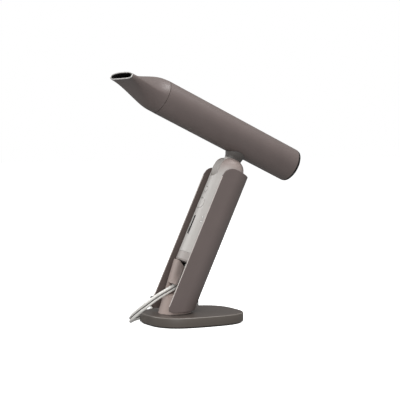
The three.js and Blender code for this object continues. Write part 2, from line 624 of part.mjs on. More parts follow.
function addAirPath() {
  const inner = BARREL.radius - BARREL.wall;
  const outlet = [[SPIGOT.bore, 98], [inner - GAP, 98], [inner - GAP, BARREL.front],
    [SPIGOT.radius, BARREL.front], [SPIGOT.radius, SPIGOT.front], [SPIGOT.bore, SPIGOT.front],
    [SPIGOT.bore, 98]];
  piece('outlet_ring', turnedForward(outlet, 40), BLACK, head);
  const grilleRing = toSolid(turnedForward(ringProfile(12.9, SPIGOT.bore - GAP, 112, 115), 32));
  const hub = toSolid(turnedForward([[0, 112], [3.5, 112], [3.5, 115], [0, 115]], 16));
  piece('outlet_grille', join(grilleRing, hub, ...spokes(3, 14, 1, 112, 115)), BLACK, head);
  piece('heater_tube', turnedForward(ringProfile(14.2, 15, 13, 97), 36), MICA, head);
  piece('heater_former', join(...spokes(2, 12, 0.8, 14, 90)), MICA, head);
  const turns = 6;
  const helix = [];
  for (let i = 0; i <= turns * 10; i += 1) {
    const angle = (i / 10) * 2 * Math.PI;
    helix.push(new THREE.Vector3(13.1 * Math.cos(angle), -(16 + 66 * (i / (turns * 10))),
      AXIS_HEIGHT + 13.1 * Math.sin(angle)));
  }
  const wire = new THREE.Shape();
  wire.setFromPoints([[-0.5, 0], [0, -0.5], [0.5, 0], [0, 0.5]].map(([u, v]) => new THREE.Vector2(u, v)));
  const coil = new THREE.ExtrudeGeometry(wire, { steps: turns * 14, bevelEnabled: false,
    extrudePath: new THREE.CatmullRomCurve3(helix) });
  piece('heater_coil', coil, STEEL, head);
}

function addFan() {
  const inner = BARREL.radius - BARREL.wall;
  const motor = [[0, -38], [11.5, -38], [12, -37], [12, -10], [9, -8], [0, -8]];
  piece('fan_motor', turnedForward(motor, 32), STEEL, head);
  const mountRing = toSolid(turnedForward(ringProfile(16.6, inner - GAP, -34, -13), 40));
  const cup = toSolid(turnedForward(ringProfile(12.3, 13.5, -34, -13), 32));
  const vanes = spokes(4, 17, 1, -32, -14);
  const core = toSolid(turnedForward([[0, -40], [12.6, -40], [12.6, 0], [0, 0]], 32));
  piece('motor_mount', join(mountRing, cup, ...vanes.map((vane) => cut(vane, core))), BLACK, head);
  const hub = toSolid(turnedForward([[0, -57], [3, -57], [6, -53], [6.5, -44], [0, -44]], 24));
  const blades = [];
  const bladeCount = 7;
  for (let i = 0; i < bladeCount; i += 1) {
    const blade = block([-0.6, -5, 4], [0.6, 5, 16.2]);
    blade.rotateZ(0.7).rotateY((i / bladeCount) * 2 * Math.PI).translate(0, 49.5, AXIS_HEIGHT);
    blades.push(toSolid(blade));
  }
  const shaftHole = toSolid(turnedForward([[0, -54], [1.5 + GAP, -54], [1.5 + GAP, -43], [0, -43]], 12));
  piece('fan_impeller', cut(join(hub, ...blades), shaftHole), BLACK, head);
  piece('fan_shaft', turnedForward([[0, -53.7], [1.5, -53.7], [1.5, -38.3], [0, -38.3]], 12), STEEL, head);
}

function addIntake() {
  const { radius, rear, capRear } = BARREL;
  const inner = radius - BARREL.wall;
  const guardRing = toSolid(turnedForward(ringProfile(15.6, inner - GAP, -64.5, -60), 40));
  const guardHub = toSolid(turnedForward([[0, -64.5], [4, -64.5], [4, -62.5], [0, -62.5]], 16));
  piece('intake_guard', join(guardRing, guardHub, ...spokes(4, 16.5, 1, -64.5, -62.5)), BLACK, head);
  const cap = toSolid(turnedForward([[0, capRear], [15, capRear], [18.2, capRear + 0.3],
    [19.3, capRear + 1.1], [19.6, rear - GAP], [inner - GAP, rear - GAP], [inner - GAP, rear + 4.5],
    [16.6, rear + 4.5], [16.6, rear - 1], [0, rear - 1]], 56));
  const holes = [];
  for (const [ring, count, size] of [[4.6, 6, 1.5], [8.6, 12, 1.5], [12.6, 18, 1.5]]) {
    for (let i = 0; i < count; i += 1) {
      const angle = (i / count) * 2 * Math.PI;
      holes.push(toSolid(rod('y', size, 73.5, 80, [ring * Math.cos(angle),
        AXIS_HEIGHT + ring * Math.sin(angle)], 6)));
    }
  }
  piece('intake_filter_cap', cut(cap, ...holes), BLACK, head);
  piece('intake_filter_mesh', turnedForward([[0, rear - 0.7], [16.3, rear - 0.7],
    [16.3, rear], [0, rear]], 36), SILVER, head);
}

// ---- the nozzle ----
// A section of the nozzle: a circle at the back, and a flat slot with an arched top at the mouth.
// Between them its top and bottom meet in a crease along each side.
function nozzleRing(forward, inset, count = 48) {
  const { radius, side, upper, lower } = NOZZLE;
  const reach = ({ start, end, reach: last }) => {
    const share = THREE.MathUtils.smoothstep(forward, start, end);
    return radius + (last - radius) * share - inset;
  };
  const share = THREE.MathUtils.clamp((forward - side.start) / (side.end - side.start), 0, 1);
  const crease = Math.sin(Math.PI * share ** 0.45);
  const topPower = 2 - 0.75 * crease + 0.3 * share;
  const bottomPower = 2 - 0.25 * crease + 1.2 * share + 1.4 * share ** 2;
  const ring = [];
  for (let i = 0; i < count; i += 1) {
    const angle = (i / count) * 2 * Math.PI;
    const [c, s] = [Math.cos(angle), Math.sin(angle)];
    const power = s > 0 ? topPower : bottomPower;
    const stretch = (Math.abs(c) ** power + Math.abs(s) ** power) ** (-1 / power);
    ring.push(new THREE.Vector3(reach(side) * c * stretch, -forward,
      AXIS_HEIGHT + reach(s > 0 ? upper : lower) * s * stretch));
  }
  return ring;
}

function nozzleSkin(inset, from, to, steps = 10) {
  const { start, end } = NOZZLE.side;
  const rings = [nozzleRing(from, inset)];
  for (let i = 0; i <= steps; i += 1) rings.push(nozzleRing(start + (end - start) * (i / steps), inset));
  rings.push(nozzleRing(to, inset));
  return toSolid(loft(rings));
}

function addNozzle() {
  const { back, front, wall, lip } = NOZZLE;
  const outside = nozzleSkin(0, back, front + 0.01);
  const inside = nozzleSkin(wall, back - 5, front + 5);
  const socket = toSolid(turnedForward([[0, back - 5], [SPIGOT.radius + GAP, back - 5],
    [SPIGOT.radius + GAP, SPIGOT.front + GAP], [0, SPIGOT.front + GAP]], 48));
  const body = cut(outside, inside, socket);
  const lipCut = toSolid(block([-40, -front - 5, 30], [40, -front + lip + GAP, 56]));
  piece('nozzle_shell', cut(body, lipCut), TAUPE, head);
  const lipZone = toSolid(block([-40, -front - 5, 30], [40, -front + lip, 56]));
  piece('nozzle_lip', body.intersect(lipZone), SILVER, head);
}

addBase();
addChannel();
addPedestal();
addHolderFittings();
addHandle();
addEndCap();
addCord();
addHank();
addPlug();
addControls();
addHinge();
addKnuckle();
addBarrel();
addAirPath();
addFan();
addIntake();
addNozzle();

export default part;
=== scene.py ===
"""A slim folding hair dryer that stands in its tilted holder, with a flat twin mains cord."""
import json
import math

import bmesh
import bpy
from mathutils import Matrix, Vector


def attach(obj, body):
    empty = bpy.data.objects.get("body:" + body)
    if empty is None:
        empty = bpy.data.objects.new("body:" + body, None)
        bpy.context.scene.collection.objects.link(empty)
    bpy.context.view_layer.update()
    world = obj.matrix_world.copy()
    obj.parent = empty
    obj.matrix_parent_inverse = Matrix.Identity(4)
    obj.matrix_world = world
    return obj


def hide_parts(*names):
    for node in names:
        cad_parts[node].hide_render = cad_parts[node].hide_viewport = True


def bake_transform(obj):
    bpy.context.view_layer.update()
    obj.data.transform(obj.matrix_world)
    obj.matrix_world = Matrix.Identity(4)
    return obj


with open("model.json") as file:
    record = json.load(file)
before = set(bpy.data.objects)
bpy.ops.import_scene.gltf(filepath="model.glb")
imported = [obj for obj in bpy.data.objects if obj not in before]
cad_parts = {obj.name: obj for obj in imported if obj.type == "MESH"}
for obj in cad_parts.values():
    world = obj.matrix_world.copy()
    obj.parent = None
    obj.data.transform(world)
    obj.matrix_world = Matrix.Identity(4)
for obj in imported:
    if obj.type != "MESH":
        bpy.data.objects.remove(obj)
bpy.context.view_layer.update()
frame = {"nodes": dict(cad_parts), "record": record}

scene = bpy.context.scene
MM = Matrix.Scale(0.001, 4)  # from millimetres to metres

# The frames of the CAD: the tilted mast, which runs up the handle; the barrel's axis, above the
# fold pivot, with +Z forward; and the cord's hank, with +X from its near end to its far one.
TILT = math.radians(25)
PIVOT_Z = 174.5  # of the fold pivot, up the mast
AXIS_HEIGHT = 43  # of the barrel's axis above the pivot
MAST = Matrix.Translation((0, -0.027, 0.012)) @ Matrix.Rotation(-TILT, 4, "X") @ MM
AXIS_ABOVE = Matrix.Translation((0, 0, PIVOT_Z + AXIS_HEIGHT))
AXIS = MAST @ AXIS_ABOVE @ Matrix.Rotation(math.pi / 2, 4, "X")
HANK_TURN = Matrix.Rotation(math.atan2(0.493, -0.87), 4, "Z")
HANK = Matrix.Translation((-0.0765, 0.016, 0)) @ HANK_TURN @ MM


# ---- camera ----
def add_camera():
    """A long lens, at the angle and distance that the dryer is seen from."""
    data = bpy.data.cameras.new("camera")
    data.lens = 117.7
    data.sensor_width = 36
    data.clip_end = 20
    camera = bpy.data.objects.new("camera", data)
    azimuth, elevation, distance = math.radians(62), math.radians(3.3), 1.5
    target = Vector((0, 0.011, 0.1399))
    away = Vector((
        math.sin(azimuth) * math.cos(elevation),
        -math.cos(azimuth) * math.cos(elevation),
        math.sin(elevation),
    ))
    camera.location = target + away * distance
    camera.rotation_euler = (-away).to_track_quat("-Z", "Y").to_euler()
    scene.collection.objects.link(camera)
    scene.camera = camera


add_camera()


# ---- materials ----
def plastic(name, colour, roughness=0.45, grain=0.0, grain_scale=900, metallic=0.0, mottle=0.03):
    """A moulded surface: one colour with a faint mottle, and a fine grain in its relief."""
    material = bpy.data.materials.new(name)
    material.use_nodes = True
    nodes, links = material.node_tree.nodes, material.node_tree.links
    shader = nodes["Principled BSDF"]
    shader.inputs["Roughness"].default_value = roughness
    shader.inputs["Metallic"].default_value = metallic
    coordinates = nodes.new("ShaderNodeTexCoord")
    cloud = nodes.new("ShaderNodeTexNoise")
    cloud.inputs["Scale"].default_value = 60
    cloud.inputs["Detail"].default_value = 4
    links.new(coordinates.outputs["Object"], cloud.inputs["Vector"])
    ramp = nodes.new("ShaderNodeValToRGB")
    ramp.color_ramp.elements[0].position = 0.3
    ramp.color_ramp.elements[1].position = 0.7
    ramp.color_ramp.elements[0].color = [c * (1 - mottle) for c in colour] + [1]
    ramp.color_ramp.elements[1].color = [c * (1 + mottle) for c in colour] + [1]
    links.new(cloud.outputs["Fac"], ramp.inputs["Fac"])
    links.new(ramp.outputs["Color"], shader.inputs["Base Color"])
    if grain:
        fine = nodes.new("ShaderNodeTexNoise")
        fine.inputs["Scale"].default_value = grain_scale
        fine.inputs["Detail"].default_value = 2
        links.new(coordinates.outputs["Object"], fine.inputs["Vector"])
        bump = nodes.new("ShaderNodeBump")
        bump.inputs["Strength"].default_value = grain
        bump.inputs["Distance"].default_value = 0.0002
        links.new(fine.outputs["Fac"], bump.inputs["Height"])
        links.new(bump.outputs["Normal"], shader.inputs["Normal"])
    return material


def rgb(red, green, blue):
    """A display colour, 0 to 255, as linear values."""
    return [((v / 255 + 0.055) / 1.055) ** 2.4 for v in (red, green, blue)]


TAUPE = plastic("shell_taupe", rgb(110, 99, 96), 0.45, 0.12)
# A painted highlight: the lighter colour of the channel's narrow front edges, for the light they
# catch.
EDGE_PAINTED_HIGHLIGHT = plastic("edge_taupe_painted_highlight", rgb(205, 197, 191), 0.35, 0.06)
BASE_TAUPE = plastic("base_taupe", rgb(97, 90, 84), 0.45, 0.12)
POST_TAUPE = plastic("post_taupe", rgb(170, 154, 147), 0.45, 0.08)
HANDLE_GREY = plastic("handle_grey", rgb(194, 190, 186), 0.4, 0.06)
KNUCKLE_GREY = plastic("knuckle_grey", rgb(180, 175, 170), 0.42, 0.08)
BUTTON_GREY = plastic("button_grey", rgb(205, 201, 197), 0.3)
BLACK = plastic("black_plastic", rgb(26, 25, 25), 0.5, 0.1)
RUBBER = plastic("rubber", rgb(38, 37, 36), 0.8, 0.2)
SILVER = plastic("lip_silver", rgb(228, 225, 221), 0.25, 0, metallic=0.35)
STEEL = plastic("steel", rgb(150, 152, 155), 0.3, 0, metallic=1.0)
BRASS = plastic("brass", rgb(196, 168, 104), 0.28, 0, metallic=1.0)
MESH_STEEL = plastic("filter_mesh", rgb(120, 120, 120), 0.5, 0.5, 2600, metallic=1.0)
MICA = plastic("mica", rgb(176, 150, 110), 0.6, 0.2)
BOARD = plastic("board", rgb(38, 92, 56), 0.45)
LAMP = plastic("lamp", rgb(246, 245, 242), 0.2)
CORD_WHITE = plastic("cord_white", rgb(226, 224, 219), 0.42, 0.04)
# Painted shade: the darker grey of the groove between the cord's two wires.
CORD_GROOVE_SHADE = plastic("cord_groove_painted_shade", rgb(116, 112, 108), 0.6)


def tint(material, colour, *ranges):
    """Blends a material to another colour where every range, (socket, start, full), is met."""
    nodes, links = material.node_tree.nodes, material.node_tree.links
    factor = None
    for socket, start, full in ranges:
        step = nodes.new("ShaderNodeMapRange")
        step.interpolation_type = "SMOOTHSTEP"
        step.inputs["From Min"].default_value = start
        step.inputs["From Max"].default_value = full
        links.new(socket, step.inputs["Value"])
        if factor:
            both = nodes.new("ShaderNodeMath")
            both.operation = "MULTIPLY"
            links.new(factor, both.inputs[0])
            links.new(step.outputs["Result"], both.inputs[1])
            factor = both.outputs["Value"]
        else:
            factor = step.outputs["Result"]
    base = nodes["Principled BSDF"].inputs["Base Color"]
    mix = nodes.new("ShaderNodeMixRGB")
    mix.inputs["Color2"].default_value = colour + [1]
    links.new(factor, mix.inputs["Fac"])
    links.new(base.links[0].from_socket, mix.inputs["Color1"])
    links.new(mix.outputs["Color"], base)


def along(material, output, axis):
    """How far each point, or its normal, reaches along an axis of the row frame."""
    nodes, links = material.node_tree.nodes, material.node_tree.links
    coordinates, dot = nodes.new("ShaderNodeTexCoord"), nodes.new("ShaderNodeVectorMath")
    dot.operation = "DOT_PRODUCT"
    dot.inputs[1].default_value = axis
    links.new(coordinates.outputs[output], dot.inputs[0])
    return dot.outputs["Value"]


MAST_AXIS = Vector((0, math.sin(TILT), math.cos(TILT)))
MAST_BACK = Vector((0, math.cos(TILT), -math.sin(TILT)))
ACROSS, UP = (1, 0, 0), (0, 0, 1)


def up_mast(material, start, full):
    """A range of heights up the mast, in millimetres, for tint()."""
    heights = [(MAST @ Vector((0, 0, height))).dot(MAST_AXIS) for height in (start, full)]
    return along(material, "Object", MAST_AXIS), *heights


def behind_mast(material, start, full):
    """A range of distances back from the mast's axis, in millimetres, for tint()."""
    distances = [(MAST @ Vector((0, back, 0))).dot(MAST_BACK) for back in (start, full)]
    return along(material, "Object", MAST_BACK), *distances


def sideways(material, start, full):
    """A range of places along X, in millimetres, for tint()."""
    return along(material, "Object", ACROSS), start / 1000, full / 1000


def facing(material, axis, start, full):
    """A range of how squarely a face looks along an axis, up to 1, for tint()."""
    return along(material, "Normal", axis), start, full


def tint_surfaces():
    """The changes of colour that follow a piece's shape, most of them painted shade and painted
    highlights.
    """
    # Painted shade: the inside of the channel's far wall is darker than its outside, where it
    # stands in shade.
    tint(TAUPE, rgb(96, 85, 81), facing(TAUPE, ACROSS, 0.3, 0.6), sideways(TAUPE, -12, -16))
    # The barrel ends in a black rim.
    tint(TAUPE, rgb(34, 31, 30), behind_mast(TAUPE, 71.3, 71.9))
    # The handle blends to a warmer, darker grey up towards its ears, and to a darker grey at its
    # end cap.
    tint(HANDLE_GREY, rgb(160, 146, 141), up_mast(HANDLE_GREY, 164, 186))
    tint(HANDLE_GREY, rgb(172, 165, 161), up_mast(HANDLE_GREY, 70.2, 69.4))
    # Painted shade: the knuckle's neck, in the barrel's shadow, is darker than its drum.
    tint(KNUCKLE_GREY, rgb(90, 86, 83), up_mast(KNUCKLE_GREY, 189, 192))
    # Painted shade: the pocket of the pedestal, under the handle's end, is darkened nearly to black
    # inside.
    tint(POST_TAUPE, rgb(24, 21, 20), facing(POST_TAUPE, ACROSS, 0.5, 0.8),
         sideways(POST_TAUPE, -9, -8), behind_mast(POST_TAUPE, -14, -13),
         up_mast(POST_TAUPE, 26, 34))
    # Painted shade: the front of the pedestal is darker towards the near wall of the channel, which
    # shades it.
    tint(POST_TAUPE, rgb(112, 100, 95), sideways(POST_TAUPE, 1, 11), up_mast(POST_TAUPE, 24, 46))
    # Painted highlight: the rounded rim of the base is a little lighter than its side.
    tint(BASE_TAUPE, rgb(122, 116, 110),
         facing(BASE_TAUPE, UP, 0.3, 0.5), facing(BASE_TAUPE, UP, 0.95, 0.88))
    # Painted shade: the flat top of the base is darker.
    tint(BASE_TAUPE, rgb(83, 75, 70), facing(BASE_TAUPE, UP, 0.94, 0.99))


tint_surfaces()


# ---- meshes ----
def add_piece(name, points, faces, matrix, material, body, nodes=(), angle=32):
    """A mesh in millimetres of a frame, placed in the row frame and riding on a body."""
    mesh = bpy.data.meshes.new(name)
    mesh.from_pydata([matrix @ Vector(p) for p in points], [], faces)
    mesh.validate()
    build = bmesh.new()
    build.from_mesh(mesh)
    bmesh.ops.remove_doubles(build, verts=build.verts, dist=1e-7)
    bmesh.ops.recalc_face_normals(build, faces=build.faces)
    build.to_mesh(mesh)
    build.free()
    mesh.polygons.foreach_set("use_smooth", [True] * len(mesh.polygons))
    mesh.set_sharp_from_angle(angle=math.radians(angle))
    mesh.materials.append(material)
    piece = bpy.data.objects.new(name, mesh)
    scene.collection.objects.link(piece)
    if body:
        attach(piece, body)
    if nodes:
        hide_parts(*nodes)
    return piece


def skin(rings, closed=False):
    """Points and faces of a tube over rings of equal length, capped unless it closes on itself."""
    count = len(rings[0])
    points = [p for ring in rings for p in ring]
    faces = []
    spans = len(rings) if closed else len(rings) - 1
    for i in range(spans):
        a, b = i * count, ((i + 1) % len(rings)) * count
        for j in range(count):
            k = (j + 1) % count
            faces.append((a + j, a + k, b + k, b + j))
    if not closed:
        faces.append(tuple(reversed(range(count))))
        faces.append(tuple(range((len(rings) - 1) * count, len(rings) * count)))
    return points, faces


def rounded(corners, steps=5):
    """A profile from (u, v, radius) corners, each radius filled with an arc."""
    out = []
    for i, (u, v, radius) in enumerate(corners):
        here = Vector((u, v))
        if not radius:
            out.append((u, v))
            continue
        before = (Vector(corners[i - 1][:2]) - here).normalized()
        after = (Vector(corners[(i + 1) % len(corners)][:2]) - here).normalized()
        half = before.angle(after) / 2
        reach = radius / math.tan(half)
        centre = here + (before + after).normalized() * (radius / math.sin(half))
        start, end = here + before * reach - centre, here + after * reach - centre
        for k in range(steps + 1):
            out.append(tuple(centre + start.slerp(end, k / steps)))
    return out


def turn(profile, count=128):
    """Rings about +Z from a profile of (radius, z) that closes on itself."""
    rings = []
    for i in range(count):
        c, s = math.cos(2 * math.pi * i / count), math.sin(2 * math.pi * i / count)
        rings.append([(r * c, r * s, z) for r, z in profile])
    return skin(rings, closed=True)


# ---- the cord, which comes first ----
CORD_WIDE, CORD_THICK = 7.2, 3.6


def mast_point(x, y, z):
    """A point of the mast's frame, in millimetres of the row frame."""
    return MAST @ Vector((x, y, z)) * 1000


def hank_point(x, y, z):
    """A point of the hank's frame, in millimetres of the row frame."""
    return HANK @ Vector((x, y, z)) * 1000


# The free run, from inside the boot to the hank, in millimetres of the row frame.
FREE_RUN = [
    mast_point(0, 0, 59), mast_point(0, 0, 52), mast_point(0, -0.4, 46),
    mast_point(0.3, -2.2, 40.2),
    (1.3, -18, 44.5), (2.9, -27, 40.4), (4.5, -36, 36.7), (5.8, -45, 32.9), (6.2, -53, 28.5),
    (4.1, -60.4, 22.9), (-1.2, -66.2, 16.6), (-8.4, -70, 10), (-16.6, -69.3, 5.4), (-25, -65, 3.8),
    (-33, -58.6, 3.65), (-40.5, -50.3, 3.65), (-47.6, -40.6, 3.65), (-55.6, -30.8, 3.8),
    (-65.4, -22, 4.3), (-77, -14.2, 4.8),
]


def smooth_line(controls, step):
    """Points a step apart on the centripetal spline through the controls."""
    controls = [Vector(p) for p in controls]
    first = controls[0] * 2 - controls[1]
    last = controls[-1] * 2 - controls[-2]
    padded = [first] + controls + [last]
    line = []
    for a, b, c, d in zip(padded, padded[1:], padded[2:], padded[3:]):
        t0, t1 = 0.0, math.sqrt((b - a).length)
        t2 = t1 + math.sqrt((c - b).length)
        t3 = t2 + math.sqrt((d - c).length)
        count = max(2, round((c - b).length / step))
        for i in range(count):
            t = t1 + (t2 - t1) * i / count
            ab = a.lerp(b, (t - t0) / (t1 - t0))
            bc = b.lerp(c, (t - t1) / (t2 - t1))
            cd = c.lerp(d, (t - t2) / (t3 - t2))
            abc = ab.lerp(bc, (t - t0) / (t2 - t0))
            bcd = bc.lerp(cd, (t - t1) / (t3 - t1))
            line.append(abc.lerp(bcd, (t - t1) / (t2 - t1)))
    return line + [controls[-1]]


HANK_STRAIGHT = 60  # between the centres of its two round ends
LAYER_Z = (4.95, 12.3)  # of the middle of the cord in the lower and upper layers
RADII = (26.2, 22.5, 18.8)  # of the three turns in each layer
TOP_Z = 21.6  # of the last half turn, which crosses over the top to the plug
PLUG_SIDE = 9  # how far the plug lies to the side of the hank's middle


def bend(centre_x, centre_y, reach_x, reach_y, z, outward, count=9):
    """Half a turn at one end of the hank, as hank points: outward is 1 at the far end."""
    points = []
    for i in range(count):
        angle = math.pi * i / (count - 1)
        x = centre_x + outward * reach_x * math.sin(angle)
        points.append(hank_point(x, centre_y + outward * reach_y * math.cos(angle), z))
    return points


def straight(y, z, onward):
    """Points along one side of the hank, towards its far end or back."""
    shares = (0.25, 0.5, 0.75)
    return [hank_point(HANK_STRAIGHT * (s if onward else 1 - s), y, z) for s in shares]


def hank_line():
    """The wound cord: three turns inwards on the lower layer, three outwards on the upper one."""
    low, high = LAYER_Z
    outer, middle, inner = RADII
    half = (outer - middle) / 2
    line = [hank_point(0, outer, low)]
    for this, following in ((outer, middle), (middle, inner), (inner, inner - 2 * half)):
        line += straight(this, low, True) + bend(HANK_STRAIGHT, 0, this, this, low, 1)
        line += straight(-this, low, False)
        reach = (this + following) / 2
        line += bend(0, -half, reach, reach, low, -1)
    # Up from the lower layer to the upper one.
    line += [hank_point(13, inner - 3.8, 7.6), hank_point(28, inner - 3.7, high),
             hank_point(43, inner - 1.6, high)]
    line += bend(HANK_STRAIGHT, 0, inner, inner, high, 1) + straight(-inner, high, False)
    line += bend(0, half, middle - half, middle - half, high, -1)
    line += straight(middle, high, True) + bend(HANK_STRAIGHT, 0, middle, middle, high, 1)
    line += straight(-middle, high, False) + bend(0, half, outer - half, outer - half, high, -1)
    line += straight(outer, high, True) + bend(HANK_STRAIGHT, 0, outer, outer, high, 1)
    # Up from the upper layer, and round over the top to the plug.
    line += [hank_point(44, -outer, high), hank_point(30, -outer, 14.5),
             hank_point(15, -outer, 19)]
    reach = (outer + PLUG_SIDE) / 2
    line += bend(0, PLUG_SIDE - reach, reach, reach, TOP_Z, -1)
    return line + [hank_point(9, PLUG_SIDE, TOP_Z + 0.7), hank_point(24, PLUG_SIDE, TOP_Z + 2)]


# The faces of each ring that lie in the groove between the two wires.
GROOVE_FACES = {0, 9, 10, 11, 20, 21}


def twin_section(across, up):
    """The outline of a flat twin cord: two round wires side by side with a groove between."""
    radius = CORD_THICK / 2
    # Each wire's arc runs this many degrees either side of its outermost point.
    widest, steps = 163, 10
    outline = []
    for side in (1, -1):
        for i in range(steps + 1):
            angle = math.radians(widest * (2 * i / steps - 1))
            wide = side * (radius + radius * math.cos(angle))
            outline.append(up * wide + across * (side * radius * math.sin(angle)))
    return outline


def cord_line():
    """Points along the middle of the cord, from inside the boot and near its mouth."""
    inside_boot = 20
    line = smooth_line(FREE_RUN + hank_line(), step=2.6)
    travelled, start = 0.0, 0
    while travelled < inside_boot:
        travelled += (line[start + 1] - line[start]).length
        start += 1
    return line[start:]


def add_cord():
    """The twin cord as one tube along its line."""
    line = cord_line()
    rings = []
    for i, point in enumerate(line):
        tangent = (line[min(i + 1, len(line) - 1)] - line[max(i - 1, 0)]).normalized()
        # The flat side stands upright, as far as the cord's direction lets it.
        up = Vector((0, 0, 1))
        up = (up - tangent * up.dot(tangent)).normalized()
        rings.append([point + p for p in twin_section(tangent.cross(up), up)])
    points, faces = skin(rings)
    cord = add_piece("mains_cord", points, faces, MM, CORD_WHITE, None,
                     ("cord_run", "cord_hank"), angle=50)
    # The faces in the groove take the darker grey, painted shade in the crease between the wires.
    cord.data.materials.append(CORD_GROOVE_SHADE)
    for face in cord.data.polygons:
        if face.index % len(rings[0]) in GROOVE_FACES:
            face.material_index = 1
    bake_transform(cord)


add_cord()


# ---- the holder ----
BASE_HALF_X, BASE_HALF_Y, BASE_POWER = 46.5, 57, 3


def base_ring(inset, z, count=160):
    """The rounded oblong outline of the base, drawn in by an inset."""
    ring = []
    for i in range(count):
        angle = 2 * math.pi * i / count
        c, s = math.cos(angle), math.sin(angle)
        stretch = (abs(c) ** BASE_POWER + abs(s) ** BASE_POWER) ** (-1 / BASE_POWER)
        ring.append(((BASE_HALF_X - inset) * c * stretch, (BASE_HALF_Y - inset) * s * stretch, z))
    return ring


def add_base():
    """The cover as rings from its recessed underside, round the rim and in over the flat top."""
    bottom, top, fillet, steps = 1.5, 12, 1.3, 6
    # Each ring's inset and height: the recess and the rim's lower edge first.
    levels = [(3, 2.6), (3, bottom), (0.7, bottom), (0.2, bottom + 0.2), (0, bottom + 0.7)]
    for i in range(steps + 1):
        angle = math.pi / 2 * i / steps
        levels.append((fillet * (1 - math.cos(angle)), top - fillet * (1 - math.sin(angle))))
    levels += [(inset, top) for inset in (4, 16, 30)]
    rings = [base_ring(inset, z) for inset, z in levels]
    points, faces = skin(rings)
    add_piece("base_cover", points, faces, MM, BASE_TAUPE, "stand", ("stand_base_cover",),
              angle=60)


def add_channel():
    """A U of constant wall: two straight sides and a half circle round the back."""
    radius, wall, front, top, rise = 24, 2.2, -16.5, 178.4, 3.5
    top_round, foot_round = 14, 8
    side_steps, side_power, arc_steps, up_steps = 14, 1.6, 72, 12

    def ends(y):
        """The lowest and highest points of the wall at a distance back from the axis."""
        low = (rise + y * math.sin(TILT)) / math.cos(TILT)
        high = top
        if y < front + top_round:
            high = top - top_round + math.sqrt(top_round**2 - (front + top_round - y) ** 2)
        if y < front + foot_round:
            low += foot_round - math.sqrt(foot_round**2 - (front + foot_round - y) ** 2)
        return low, high

    # Each place along the U, as shares of the radius and a distance along a straight side.
    side = [(1, 0, front * (1 - i / side_steps) ** side_power) for i in range(side_steps + 1)]
    angles = [math.pi * i / arc_steps for i in range(1, arc_steps)]
    track = side + [(math.cos(angle), math.sin(angle), 0) for angle in angles]
    track += [(-x, 0, y) for x, _, y in reversed(side)]
    rings = []
    for x, bulge, y in track:
        outer = (x * radius, bulge * radius + y)
        inner = (x * (radius - wall), bulge * (radius - wall) + y)
        low, high = ends(inner[1])
        low_out, high_out = ends(outer[1])
        mid = [low + (high - low) * k / up_steps for k in range(1, up_steps)]
        ring = [(*inner, low)] + [(*inner, z) for z in mid] + [(*inner, high)]
        ring += [(*outer, high_out)] + [(*outer, z) for z in reversed(mid)] + [(*outer, low_out)]
        rings.append(ring)
    points, faces = skin(rings)
    piece = add_piece("holder_channel", points, faces, MAST, TAUPE, "stand", ("stand_channel",),
                      angle=35)
    # The two narrow front edges are the end caps of the skin, and they take a painted highlight: a
    # lighter colour for the light they catch.
    piece.data.materials.append(EDGE_PAINTED_HIGHLIGHT)
    for face in piece.data.polygons:
        if len(face.vertices) > 4:
            face.material_index = 1
    soften(piece, width_mm=0.35)


def soften(piece, width_mm, segments=2, angle=40):
    """Rounds a piece's sharp edges."""
    bevel = piece.modifiers.new("soft_edges", "BEVEL")
    bevel.width = width_mm / 1000
    bevel.segments = segments
    bevel.limit_method = "ANGLE"
    bevel.angle_limit = math.radians(angle)
    bevel.harden_normals = False
    even = piece.modifiers.new("even_shade", "WEIGHTED_NORMAL")
    even.keep_sharp = True


# ---- the head ----
def add_barrel():
    """An open tube of constant wall, with its two ends rounded over."""
    bore, radius, rear, front = 18.2, 20, -73, 114
    profile = rounded([(bore, rear, 0.3), (radius, rear, 1.1), (radius, front, 0),
                       (bore, front, 0.3)])
    points, faces = turn(profile)
    add_piece("barrel", points, faces, AXIS, TAUPE, "head", ("barrel_shell",))


NOZZLE_RADIUS, NOZZLE_BACK = 19.9, 115.1
# Where each half-width of the nozzle starts and stops changing, and what it comes to.
NOZZLE_SIDE, NOZZLE_UPPER, NOZZLE_LOWER = (119, 168.5, 28.6), (117, 166, 4.6), (121, 168.5, 4.3)
CREASE_POWER = 0.62  # below 1, so that the crease is sharpest nearer the back
# What the crease takes from each half's power, and what the way to the mouth adds to it.
TOP_CREASE, TOP_SQUARE = 0.75, 0.3
BOTTOM_CREASE, BOTTOM_SQUARE, BOTTOM_SQUARE_LATE = 0.25, 1.2, 1.4


def ease(value, start, end):
    """0 before start, 1 after end, and a smooth change between them."""
    share = min(max((value - start) / (end - start), 0), 1)
    return share * share * (3 - 2 * share)


def nozzle_ring(forward, inset, count=144):
    """A circle at the back and an arched slot at the mouth, with a crease along each side.

    The upper and lower halves are superellipses. A power under 2 sharpens the sides into a
    crease, and a power over 2 squares the slot at the mouth.
    """
    side, upper, lower = (
        NOZZLE_RADIUS + (last - NOZZLE_RADIUS) * ease(forward, start, end) - inset
        for start, end, last in (NOZZLE_SIDE, NOZZLE_UPPER, NOZZLE_LOWER)
    )
    share = min(max((forward - NOZZLE_BACK) / (NOZZLE_SIDE[1] - NOZZLE_BACK), 0), 1)
    crease = math.sin(math.pi * share**CREASE_POWER)
    top_power = 2 - TOP_CREASE * crease + TOP_SQUARE * share
    bottom_power = 2 - BOTTOM_CREASE * crease + BOTTOM_SQUARE * share
    bottom_power += BOTTOM_SQUARE_LATE * share**2
    ring = []
    for i in range(count):
        angle = 2 * math.pi * i / count
        c, s = math.cos(angle), math.sin(angle)
        power = top_power if s > 0 else bottom_power
        stretch = (abs(c) ** power + abs(s) ** power) ** (-1 / power)
        ring.append((side * c * stretch, (upper if s > 0 else lower) * s * stretch, forward))
    return ring


def nozzle_rings(inset, from_, to, count=30):
    """Rings along the nozzle, closer together towards its back."""
    closer = 1.4
    return [nozzle_ring(from_ + (to - from_) * (i / (count - 1)) ** closer, inset)
            for i in range(count)]


